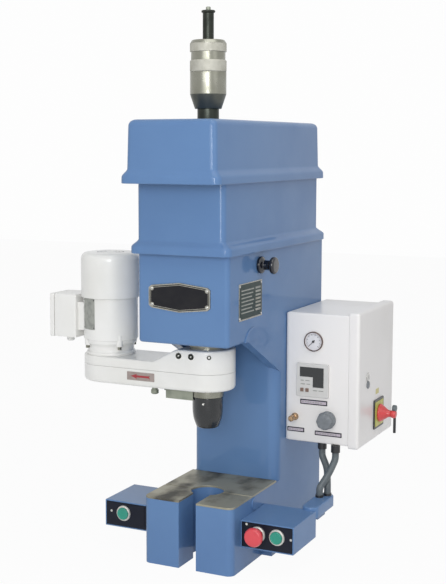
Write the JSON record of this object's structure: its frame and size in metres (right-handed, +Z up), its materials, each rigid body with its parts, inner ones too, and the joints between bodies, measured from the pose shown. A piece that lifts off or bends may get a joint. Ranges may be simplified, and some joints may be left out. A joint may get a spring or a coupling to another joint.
{
  "type": "orbital riveting press",
  "caption": "Bench orbital riveting press: C-frame with slotted table, belt-driven spindle on an air-driven quill, depth-stop knob, two-hand start buttons and a side control box.",
  "frame": {"origin": "on the floor, on the axis of the anvil bore and the spindle", "axes": "+Z up along the spindle, -Y towards the operator, +X to the operator's right"},
  "size_m": [0.69, 0.617, 1.162],
  "materials": {
    "bare_steel": "ground steel with stains",
    "belt_rubber": "rubber",
    "bezel_plastic": "light grey",
    "black_oxide": "blackened steel",
    "black_plastic": "satin black",
    "blue_paint": "glossy enamel",
    "box_paint": "smooth warm white powder coat",
    "bright_chrome": "polished",
    "cast_bronze": "bearing bronze",
    "conduit_grey": "satin dark grey",
    "dark_steel": "dark turned steel",
    "green_plastic": "glossy",
    "grey_plastic": "satin grey",
    "plate_silver": "etched plate",
    "red_plastic": "glossy",
    "satin_steel": "turned and polished",
    "turned_brass": "turned brass",
    "white_paint": "glossy off-white enamel",
    "yellow_plastic": "satin"
  },
  "bodies": {
    "frame": {"frame_casting": "blue_paint", "table_plate": "bare_steel", "rear_cover": "blue_paint", "lower_cover": "blue_paint", "top_cover": "blue_paint", "cylinder_barrel": "satin_steel", "cylinder_caps": "plate_silver", "tie_rods": "satin_steel", "quill_bush": "cast_bronze", "stop_sleeve": "dark_steel", "name_plates": "plate_silver", "label_strips": "plate_silver", "left_button_box": "blue_paint", "right_button_box": "blue_paint", "conduit_duct": "blue_paint", "button_plates": "black_plastic", "button_bezels": "bezel_plastic", "control_box": "box_paint", "gauge_case": "bezel_plastic", "timer_case": "black_plastic", "valve_bodies": "turned_brass", "cable_glands": "black_plastic", "conduits": "conduit_grey", "box_internals": "black_plastic", "frame_screws": "bright_chrome"},
    "ram": {"quill": "satin_steel", "piston": "plate_silver", "stop_rod": "dark_steel", "housing_upper": "white_paint", "housing_lower": "white_paint", "clamp_bolts": "satin_steel", "bearing_bracket": "bare_steel", "nose_ring": "satin_steel", "bearings": "satin_steel", "drive_belt": "belt_rubber", "motor_frame": "white_paint", "fan_cover": "white_paint", "terminal_box": "white_paint", "ram_plates": "plate_silver"},
    "spindle": {"spindle_shaft": "satin_steel", "spindle_pulley": "plate_silver", "orbital_head": "black_oxide"},
    "rotor": {"rotor_shaft": "dark_steel", "motor_pulley": "plate_silver", "cooling_fan": "black_plastic"},
    "tool_holder": {"tool_holder": "dark_steel"},
    "stop_bush": {"stop_bush": "dark_steel"},
    "adjusting_nut": {"adjusting_nut": "satin_steel"},
    "lock_nut": {"lock_nut": "satin_steel"},
    "left_start_button": {"left_start_button": "green_plastic"},
    "right_start_button": {"right_start_button": "green_plastic"},
    "estop_button": {"estop_button": "red_plastic"},
    "door": {"box_door": "box_paint", "isolator_plate": "yellow_plastic"},
    "isolator_handle": {"isolator_handle": "red_plastic"},
    "door_lock": {"door_lock": "bright_chrome"},
    "gauge_pointer": {"gauge_pointer": "black_plastic"},
    "regulator_knob": {"regulator_knob": "grey_plastic"},
    "needle_knob": {"needle_knob": "turned_brass"},
    "side_knob": {"side_knob": "black_plastic"}
  },
  "joints": [
    {"name": "ram_stroke", "type": "slide", "parent": "frame", "child": "ram", "axis": [0, 0, -1], "range_m": [0, 0.045], "stiffness_N_per_m": 6000, "springref_m": -0.075},
    {"name": "spindle_spin", "type": "hinge", "parent": "ram", "child": "spindle", "pos_m": [0, 0, 0.35], "axis": [0, 0, 1], "continuous": true},
    {"name": "motor_spin", "type": "hinge", "parent": "ram", "child": "rotor", "pos_m": [-0.237, 0, 0.4], "axis": [0, 0, 1], "continuous": true},
    {"name": "holder_spin", "type": "hinge", "parent": "spindle", "child": "tool_holder", "pos_m": [0, 0, 0.261], "axis": [0.0698, 0, 0.9976], "continuous": true},
    {"name": "depth_stop", "type": "slide", "parent": "frame", "child": "stop_bush", "axis": [0, 0, 1], "range_m": [-0.012, 0.006]},
    {"name": "depth_knob", "type": "hinge", "parent": "stop_bush", "child": "adjusting_nut", "pos_m": [0, 0, 1], "axis": [0, 0, 1], "range_deg": [-1440, 720]},
    {"name": "knob_lock", "type": "hinge", "parent": "stop_bush", "child": "lock_nut", "pos_m": [0, 0, 1.082], "axis": [0, 0, 1], "range_deg": [0, 60]},
    {"name": "left_start", "type": "slide", "parent": "frame", "child": "left_start_button", "axis": [0, 1, 0], "range_m": [0, 0.003], "stiffness_N_per_m": 900, "springref_m": -0.002},
    {"name": "right_start", "type": "slide", "parent": "frame", "child": "right_start_button", "axis": [0, 1, 0], "range_m": [0, 0.003], "stiffness_N_per_m": 900, "springref_m": -0.002},
    {"name": "emergency_stop", "type": "slide", "parent": "frame", "child": "estop_button", "axis": [0, 1, 0], "range_m": [0, 0.006]},
    {"name": "door_hinge", "type": "hinge", "parent": "frame", "child": "door", "pos_m": [0.2503, 0.4325, 0.37], "axis": [0, 0, 1], "range_deg": [0, 110]},
    {"name": "isolator_turn", "type": "hinge", "parent": "door", "child": "isolator_handle", "pos_m": [0.278, 0.318, 0.277], "axis": [1, 0, 0], "range_deg": [0, 90]},
    {"name": "lock_turn", "type": "hinge", "parent": "door", "child": "door_lock", "pos_m": [0.274, 0.242, 0.372], "axis": [1, 0, 0], "range_deg": [0, 90]},
    {"name": "gauge_sweep", "type": "hinge", "parent": "frame", "child": "gauge_pointer", "pos_m": [0.169, 0.18, 0.452], "axis": [0, 1, 0], "range_deg": [0, 270]},
    {"name": "regulator_turn", "type": "hinge", "parent": "frame", "child": "regulator_knob", "pos_m": [0.2035, 0.17, 0.281], "axis": [0, 1, 0], "range_deg": [-720, 720]},
    {"name": "needle_turn", "type": "hinge", "parent": "frame", "child": "needle_knob", "pos_m": [0.127, 0.165, 0.281], "axis": [0, 1, 0], "range_deg": [-1080, 360]},
    {"name": "side_knob_pull", "type": "slide", "parent": "frame", "child": "side_knob", "axis": [1, 0, 0], "range_m": [0, 0.01], "stiffness_N_per_m": 300, "springref_m": -0.01}
  ],
  "couplings": [
    {"joint": "motor_spin", "follows": "spindle_spin", "ratio": 1.4},
    {"joint": "depth_knob", "follows": "depth_stop", "rad_per_m": 2094.4}
  ]
}
